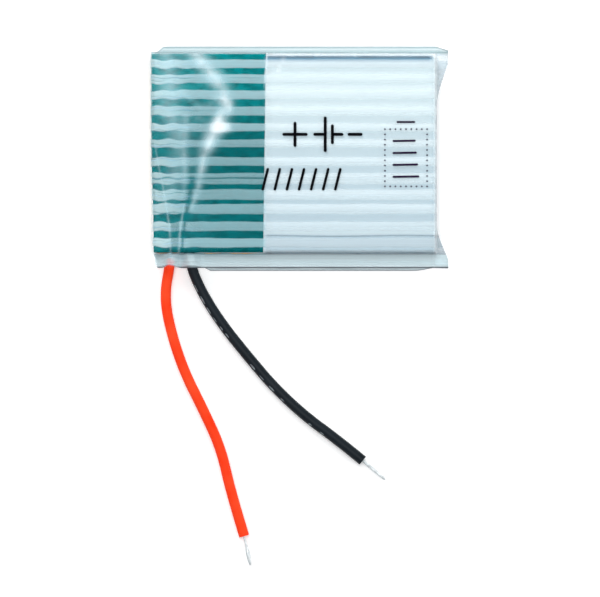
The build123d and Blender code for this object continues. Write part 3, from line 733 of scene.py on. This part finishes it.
def build_lower_sheet():
    """Flat film under the pack: its rim shows past the upper film on both long sides."""
    low_y, high_y = BASE_LOW[1], BASE_HIGH[1]
    places = columns(BASE_LOW[0], TAIL_FOOT + 0.35, 0.5, 0.5)
    x, y = np.meshgrid(places, band_rows(low_y, high_y))
    x = stretch_to_tail(x, y, 0.95)
    lead_cut = 0.5 * smooth(-x, 11.2, 12.2)
    tail_cut = 0.55 * smooth(x, 14.5, 18.5)
    squeeze_low = (lead_cut + tail_cut) * smooth(-y, 12.9, -low_y)
    head_cut = 0.75 * smooth(-x, 17.0, 18.2)
    squeeze_high = (head_cut + 0.5 * smooth(x, 17.2, 18.8)) * smooth(y, 12.9, high_y)
    y = y + squeeze_low - squeeze_high
    milk, _ = band_masks(x, y)
    milk = np.maximum(milk, 0.5 * smooth(y, 13.45, 13.62))
    z = np.full_like(x, FILM)
    edge = np.minimum(y - y.min(axis=0, keepdims=True), y.max(axis=0, keepdims=True) - y)
    # Dark lines along the film's edges, and painted shadow beyond the upper film's edge on the lead side
    dirt = 0.55 * bell(edge, 0.08) + 0.5 * smooth(-y, 13.7, 13.82)
    haze = 0.11 + 0.33 * smooth(y, 13.35, 13.5) + 0.2 * smooth(-y, 13.6, 13.8)
    gleam = 0.8 * bell(y - 13.84, 0.1)
    obj = film_solid("wrap_sheet_lower", x, y, z, FILM - 0.015,
                     {"milk": milk, "haze": haze, "dirt": dirt, "shade": 0 * x, "gleam": gleam})
    surface(obj, "lower_film")
    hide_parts("wrap_film_bottom", "filaments_bottom")


def build_head_sheet():
    """Clear glossy tape over the head: tented off the step, creased towards the leads."""
    low_x = HEAD_LOW[0]
    high_x = GREEN_HIGH[0] + 0.95
    low_y, high_y = FILM_LOW[1] + 0.05, FILM_HIGH[1] - 0.15
    turn = np.array([-0.05, 0.0, 0.02, 0.05, 0.1, 0.18, 0.3, 0.45, 0.6])
    rows = np.unique(np.concatenate([
        np.arange(low_y, high_y, 0.12), LOW_FOOT + turn, HIGH_FOOT - turn, [high_y]]))
    x, y = np.meshgrid(columns(low_x, high_x, 0.12, 0.12), rows)
    x = x + head_slant(x, y, 0.75 * smooth(-y, 10.0, -low_y) + 0.12 * smooth(y, 11.5, high_y))
    z = drape(x, y) + 0.09
    top_share = smooth(z, 2.5, 4.0)
    haze = 0.015 * smooth(-x, 9.5, 13.5) * (1 - 0.5 * smooth(-y, -3.0, 3.0)) + 0.01 * smooth(-x, 17.2, 18.4)
    shine = np.zeros_like(x)
    uneven = 1 + 0.18 * ripple(x, y, 31, 0.45)
    # Each crease whitens the film, partly lifted film and partly painted reflection, with a painted
    # highlight along its core
    for points, widths, strengths, core in HEAD_CREASES:
        distance, along = distance_to_polyline(x, y, points)
        width = widths[0] + (widths[1] - widths[0]) * along
        strength = strengths[0] + (strengths[1] - strengths[0]) * along
        haze = haze + strength * bell(distance, width) * uneven
        shine = shine + core * strength * bell(distance, np.minimum(width * 0.4, 0.16))
        z = z + top_share * 0.05 * bell(distance, width * 0.6)
    haze = haze * (1 - 0.75 * in_fold(x, y))
    # Painted highlights: a bright spot on the ridge, a strip at the head end and a line at the tape's edge
    spot = np.exp(-((x + 9.75) / 1.4) ** 4 - ((y - 3.8) / 0.58) ** 4)
    shine = shine + 0.27 * spot * (1 + 0.25 * ripple(x, y, 8, 0.3))
    shine = shine + 0.16 * smooth(-x, 18.45, 18.6) * smooth(x, low_x, low_x + 0.12)
    edge_x = -3.92 - 0.09 * (14.0 - y)
    shine = shine + 0.34 * bell(x - edge_x, 0.1) * smooth(y, 8.4, 10.2)
    obj = film_solid("head_tape_sheet", x, y, z, 0.05, {"haze": haze, "shine": shine})
    surface(obj, "head_film")
    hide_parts("head_tape")


# ---- pouch and green tape ----

def loop_section(low, high, radius):
    """Rounded rectangle in the YZ plane, counter-clockwise seen from +X, in small even steps."""
    points = []
    corners = [(high[0] - radius, high[1] - radius, 0), (low[0] + radius, high[1] - radius, 90),
               (low[0] + radius, low[1] + radius, 180), (high[0] - radius, low[1] + radius, 270)]
    for y, z, start in corners:
        for angle in np.radians(start + 90 * np.arange(8) / 7):
            points.append((y + radius * math.cos(angle), z + radius * math.sin(angle)))
    return np.array(dense_line(points + points[:1], 0.35, 1))


def build_green_wrap():
    """Green tape wound round the head third, snug on the pouch, with soft creases."""
    section = loop_section((LOW_FOOT + 0.26, GREEN_LOW[2]), (HIGH_FOOT - 0.16, GREEN_HIGH[2]), 0.4)
    outward = section - section.mean(axis=0)
    outward = np.clip(outward / np.maximum(np.abs(outward).max(axis=1, keepdims=True), 1e-9), -1, 1)
    count = len(section)
    places = np.linspace(HEAD_LOW[0] + 0.3, GREEN_HIGH[0], 52)
    rings = []
    for inset in (0.0, 0.05):
        for x in places:
            y, z = (section - outward * inset).T
            z = np.minimum(z, drape(np.full(count, x), y) - 0.12 - inset)
            end_slant = (y / 12.0) * 0.16 if x > GREEN_HIGH[0] - 0.3 else 0.0
            rings.append(np.stack([x + end_slant + head_slant(x, y), y, z], axis=-1))
    vertices = np.array(rings).reshape(-1, 3)
    # Outer and inner faces point by point round each ring, then the two cut ends
    index = np.arange(len(vertices)).reshape(2, len(places), count)
    after = np.roll(index, -1, axis=2)
    outer = np.stack([index[0, :-1], index[0, 1:], after[0, 1:], after[0, :-1]], axis=-1)
    inner = np.stack([index[1, :-1], after[1, :-1], after[1, 1:], index[1, 1:]], axis=-1)
    head_end = np.stack([index[0, 0], after[0, 0], after[1, 0], index[1, 0]], axis=-1)
    body_end = np.stack([index[0, -1], index[1, -1], after[1, -1], after[0, -1]], axis=-1)
    faces = np.concatenate([part.reshape(-1, 4) for part in (outer, inner, head_end, body_end)])
    obj = finish_mesh("green_wrap", vertices, faces)
    surface(obj, "green_tape")
    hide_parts("green_tape")


def build_pouch_upper():
    """Drawn half of the pouch: rounded cup with soft dents, and its terrace."""
    low_x, high_x = CUP_LOW[0], CUP_HIGH[0] + 0.21
    low_y, high_y = LOW_FOOT + 0.14, HIGH_FOOT - 0.58
    steps = np.array([0.0, 0.01, 0.025, 0.05, 0.08, 0.12, 0.17, 0.23, 0.3, 0.38, 0.5])
    places = np.unique(np.concatenate([
        np.arange(low_x, high_x, 0.4), CUP_HEAD_X + steps, high_x - steps, [low_x, high_x]]))
    rows = np.unique(np.concatenate([
        np.arange(low_y, high_y, 0.16), low_y + steps, high_y - steps, [high_y]]))
    x, y = np.meshgrid(places, rows)
    share = wall_rise(x - CUP_HEAD_X, 0.4, 2.2) * wall_rise(high_x - x, 0.22, 2.2)
    share = share * wall_rise(y - low_y, 0.38, 2.2) * wall_rise(high_y - y, 0.3, 2.2)
    pressed = sum(bell(y - centre - 0.1, 0.62) for centre, _, _ in BANDS)
    floor_z = 0.43
    height = CUP_HIGH[2] - floor_z - 0.04
    dents = (0.02 * ripple(x, y, 12, 1.6) + 0.06 * (pressed - 0.8)) * smooth(share, 0.8, 1.0)
    z = floor_z + height * share + dents
    obj = sheet_solid("pouch_upper", x, y, z, 0.1)
    surface(obj, "laminate")
    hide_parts("pouch_cup")


def build_amber_edge():
    """Edge of the board's amber film, a thin line below the green tape on the lead side."""
    vertices = []
    faces = []
    steps = 24
    for low_x, high_x in ((-18.0, -15.1), (-12.4, -9.7), (-9.2, -5.2)):
        faces.extend(tube_faces(len(vertices), steps, 4))
        for step in range(steps + 1):
            x = low_x + (high_x - low_x) * step / steps
            y = LOW_FOOT + 0.25 + 0.02 * math.sin(x * 4.0)
            reach = 0.13 * math.sin(math.pi * step / steps) ** 0.5 + 0.02
            for dy, z in ((0.0, 2.6), (-reach, 2.5), (-reach, 2.46), (0.0, 2.56)):
                vertices.append((x, y + dy, z))
    obj = finish_mesh("amber_film_edge", vertices, faces)
    surface(obj, "amber_film")


# ---- printed marks ----

def stroke_spine(points, width):
    """Close places along a stroke, with its direction and half width at each, rounded at both ends."""
    spine = np.array(dense_line(points, 0.07, 2) + [points[-1]])
    direction = np.gradient(spine, axis=0)
    direction /= np.maximum(np.linalg.norm(direction, axis=1, keepdims=True), 1e-9)
    reach = width / 2
    end_angles = np.radians((12, 32, 52, 72))
    turns = np.cos(end_angles)[:, None]
    start = spine[0] - direction[0] * reach * turns
    end = spine[-1] + direction[-1] * reach * turns[::-1]
    end_half = reach * np.sin(end_angles)
    return (np.concatenate([start, spine, end]),
            np.concatenate([np.tile(direction[0], (4, 1)), direction, np.tile(direction[-1], (4, 1))]),
            np.concatenate([end_half, np.full(len(spine), reach), end_half[::-1]]))


def ink_piece(name, strokes, material):
    """All strokes of one printed mark, as thin ink strips that follow the film."""
    vertices = []
    faces = []
    shares = np.array([1.0, 0.4, -0.4, -1.0])[:, None]
    for points, width in strokes:
        spine, direction, half = stroke_spine(points, width)
        across = np.stack([-direction[:, 1], direction[:, 0]], axis=-1) * half[:, None]
        x, y = np.moveaxis(spine[:, None] + across[:, None] * shares, -1, 0)
        _, relief = band_masks(x, y)
        face = film_face(x, y, relief)
        faces.extend(slab_faces(*x.shape) + len(vertices))
        for lift in (0.035, -0.03):
            vertices.extend(np.stack([x, y, face + lift], axis=-1).reshape(-1, 3))
    obj = finish_mesh(name, vertices, faces)
    obj.data.materials.append(material)


def build_marks():
    """Generic marks: plus, cell symbol and minus; a row of bars; a dotted battery outline."""
    lines = [((-1.9, 2.95), (0.9, 2.95)), ((-0.5, 4.35), (-0.5, 1.55)), ((2.0, 2.95), (3.3, 2.95)),
             ((3.3, 5.0), (3.3, 0.9)), ((4.2, 4.0), (4.2, 1.9)), ((4.2, 2.95), (5.4, 2.95)),
             ((6.3, 2.95), (7.8, 2.95))]
    ink_piece("polarity_marks", [(line, 0.37) for line in lines], INK)
    bars = [([(x, -3.95), (x + 0.62, -1.45)], 0.33) for x in -4.55 + 1.52 * np.arange(7)]
    ink_piece("charge_bars", bars, INK)
    left, right, low, high = 10.8, 16.1, -3.6, 3.6
    spots = []
    for index in range(9):
        x = left + index / 8 * (right - left)
        spots.extend(((x, low), (x, high)))
    for index in range(1, 11):
        y = low + index / 11 * (high - low)
        spots.extend(((left, y), (right, y)))
    dots = [([(x, y), (x + 0.02, y)], 0.2) for x, y in spots]
    dots.append(([(12.4, 4.5), (14.5, 4.5)], 0.24))
    for index, level in enumerate((-2.4, -0.9, 0.6, 2.1)):
        dots.append(([(11.9, level), (15.0 - 0.15 * index, level + 0.05)], 0.26))
    ink_piece("cell_pictogram", dots, FINE_INK)


# ---- leads ----

def lead_tube(name, route):
    """Smooth free lead through a few control points: its tube, and the line that it follows."""
    curve = bpy.data.curves.new(name, "CURVE")
    curve.dimensions = "3D"
    spline = curve.splines.new("NURBS")
    spline.points.add(len(route) - 1)
    for point, (x, y, z) in zip(spline.points, route):
        point.co = (x * MM, y * MM, z * MM, 1.0)
    spline.order_u = 3
    spline.use_endpoint_u = True
    curve.resolution_u = 24
    holder = bpy.data.objects.new(name + "_route", curve)
    bare = bpy.data.meshes.new_from_object(holder)
    line = [vertex.co.copy() for vertex in bare.vertices]
    curve.bevel_depth = LEAD_RADIUS * MM
    curve.bevel_resolution = 7
    curve.use_fill_caps = True
    mesh = bpy.data.meshes.new_from_object(holder)
    bpy.data.objects.remove(holder)
    bpy.data.meshes.remove(bare)
    mesh.polygons.foreach_set("use_smooth", [len(face.vertices) == 4 for face in mesh.polygons])
    obj = add_object(name, mesh)
    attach(obj, "root")
    return obj, line


def strand_tip(name, start, direction, length, strands, twist, spread, blob):
    """Stripped end: tinned strands twisted together, flattened into solder at the end."""
    forward = np.array(direction) / np.linalg.norm(direction)
    side = np.array([-forward[1], forward[0], 0.0])
    up = np.array([0.0, 0.0, 1.0])
    vertices = []
    faces = []
    rings = 34
    corners = 8
    for strand in range(strands):
        faces.extend(tube_faces(len(vertices), rings, corners))
        for ring in range(rings + 1):
            t = ring / rings
            angle = 2 * math.pi * (strand / strands) + twist * t
            reach = spread * (0.72 + 0.28 * math.sin(math.pi * t)) * (1 - 0.45 * t ** 3)
            centre = np.array(start) + forward * (-0.5 + t * (length + 0.5))
            centre = centre + side * math.cos(angle) * reach + up * math.sin(angle) * reach * 0.8
            radius = 0.085 * (1 + 0.25 * t) * (1 - 0.75 * max(0.0, t - 0.93) / 0.07)
            for a in 2 * math.pi * np.arange(corners) / corners:
                vertices.append(centre + (side * math.cos(a) + up * math.sin(a)) * radius)
    rings = 14
    corners = 16
    blob_start, blob_end, blob_half, blob_thick = blob
    faces.extend(tube_faces(len(vertices), rings, corners))
    for ring in range(rings + 1):
        t = ring / rings
        centre = np.array(start) + forward * (blob_start + t * (blob_end - blob_start))
        swell = math.sin(math.pi * min(1.0, 0.04 + 0.96 * t)) ** 0.5 if t < 0.97 else 0.25
        for a in 2 * math.pi * np.arange(corners) / corners:
            size = swell * (1 + 0.06 * math.sin(3 * a + 5 * t))
            outward = side * math.cos(a) * blob_half + up * math.sin(a) * blob_thick
            vertices.append(centre + outward * size)
    obj = finish_mesh(name, vertices, faces)
    surface(obj, "tinned_wire")
    return obj


def in_millimetres(line):
    return np.array([tuple(point) for point in line]) / MM


def lead_flecks(line):
    """Worn remains of printed dashes along the black lead: short curved flecks on its side."""
    random = np.random.default_rng(44)
    vertices = []
    faces = []
    places = in_millimetres(line)
    distances = np.concatenate([[0.0], np.cumsum(np.linalg.norm(np.diff(places, axis=0), axis=1))])
    stretches = [(7.2, 8.2), (8.8, 9.9), (10.4, 11.3), (11.9, 12.6), (13.3, 13.9), (14.4, 15.1),
                 (19.4, 20.3), (21.2, 22.0), (23.0, 23.9), (25.1, 25.7), (29.8, 30.3), (31.6, 32.2)]
    steps = 7
    for begin, end in stretches:
        angle = math.radians(random.uniform(40, 54))
        arc = math.radians(random.uniform(9, 20))
        faces.extend(tube_faces(len(vertices), steps, 4))
        for step in range(steps + 1):
            reach = begin + (end - begin) * step / steps
            centre, ahead = (np.array([np.interp(at, distances, places[:, axis]) for axis in range(3)])
                             for at in (reach, reach + 0.1))
            forward = (ahead - centre) / np.linalg.norm(ahead - centre)
            side = np.cross(forward, [0, 0, 1.0])
            side /= np.linalg.norm(side)
            up = np.cross(side, forward)
            taper = math.sin(math.pi * (0.12 + 0.76 * step / steps))
            for share, lift in ((-1, 0.012), (1, 0.012), (1, -0.01), (-1, -0.01)):
                a = angle + share * arc * taper / 2
                outward = side * math.cos(a) + up * math.sin(a)
                vertices.append(centre + outward * (LEAD_RADIUS + lift))
    obj = finish_mesh("black_lead_print", vertices, faces, smooth_faces=False)
    obj.data.materials.append(FLECK_INK)
    return obj


def build_leads():
    red_tip = strand_tip("red_lead_tip", (-6.93, -47.75, 0.6), (0.209, -0.978, 0.0), 3.4, 5, 3.0, 0.08,
                         (1.3, 3.75, 0.27, 0.17))
    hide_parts("red_lead_core")
    black_tip = strand_tip("black_lead_tip", (8.06, -38.2, 0.6), (0.763, -0.646, 0.0), 3.75, 6, 8.5, 0.135,
                           (1.5, 3.0, 0.22, 0.15))
    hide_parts("black_lead_core")
    red, red_line = lead_tube("red_lead", RED_ROUTE)
    surface(red, "red_insulation")
    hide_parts("red_lead_insulation")
    black, black_line = lead_tube("black_lead", BLACK_ROUTE)
    surface(black, "black_insulation")
    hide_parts("black_lead_insulation")
    flecks = lead_flecks(black_line)
    LEAD_LINES.extend((in_millimetres(red_line), in_millimetres(black_line)))


# ---- carried-over CAD nodes ----

def dress_cad_nodes():
    """Give every CAD node that stays the material of its slot."""
    slots = {entry["node"]: entry["material_slot"] for entry in frame["record"]["subparts"]}
    for node, obj in frame["nodes"].items():
        material = MATERIALS.get(slots.get(node))
        if material is not None:
            obj.data.materials.clear()
            obj.data.materials.append(material)


# ---- stage, light and camera ----

def build_stage():
    """A wide floor of white paper, just below the pack."""
    mesh = bpy.data.meshes.new("floor")
    half = 3.0
    corners = [(-half, -half), (half, -half), (half, half), (-half, half)]
    mesh.from_pydata([(x, y, -0.00002) for x, y in corners], [], [(0, 1, 2, 3)])
    floor = add_object("floor", mesh)
    white = (1.0, 1.0, 1.0, 1.0)
    material = new_material("floor_paper", Base_Color=(0.96, 0.96, 0.96, 1.0), Roughness=0.9,
                            Emission_Color=white, Emission_Strength=0.16)
    mesh.materials.append(material)


def area_light(name, place, target, size, power):
    """Round lamp aimed at a target."""
    data = bpy.data.lights.new(name, "AREA")
    data.shape = "DISK"
    data.size = size
    data.energy = power
    light = add_object(name, data)
    light.location = place
    light.rotation_euler = (Vector(target) - Vector(place)).to_track_quat("-Z", "Y").to_euler()


def build_lights():
    world = bpy.data.worlds.new("studio")
    bpy.context.scene.world = world
    world.use_nodes = True
    background = world.node_tree.nodes["Background"]
    background.inputs["Color"].default_value = (0.97, 0.99, 1.0, 1.0)
    background.inputs["Strength"].default_value = 0.42
    area_light("overhead", (-0.03, 0.09, 0.55), (0.0, -0.02, 0.0), 0.34, 1.58)
    area_light("fill", (0.36, -0.06, 0.2), (0.0, 0.0, 0.0), 0.26, 0.34)
    area_light("side", (-0.14, 0.42, 0.28), (0.0, -0.01, 0.0), 0.26, 0.95)


def build_camera():
    """Camera straight above, far enough away to look nearly flat."""
    data = bpy.data.cameras.new("camera")
    distance = 0.6
    frame_width = 0.076
    data.sensor_width = 36.0
    data.lens = data.sensor_width * distance / frame_width
    data.clip_start = 0.01
    data.clip_end = 10.0
    camera = add_object("camera", data)
    camera.location = (0.00013, -0.0177, distance)
    bpy.context.scene.camera = camera


def main():
    bpy.context.scene.view_settings.view_transform = "Standard"
    build_camera()
    build_lights()
    build_stage()
    dress_cad_nodes()
    build_leads()
    build_pouch_upper()
    build_green_wrap()
    build_amber_edge()
    build_upper_sheet()
    build_lower_sheet()
    build_head_sheet()
    build_marks()


main()
bpy.context.view_layer.update()
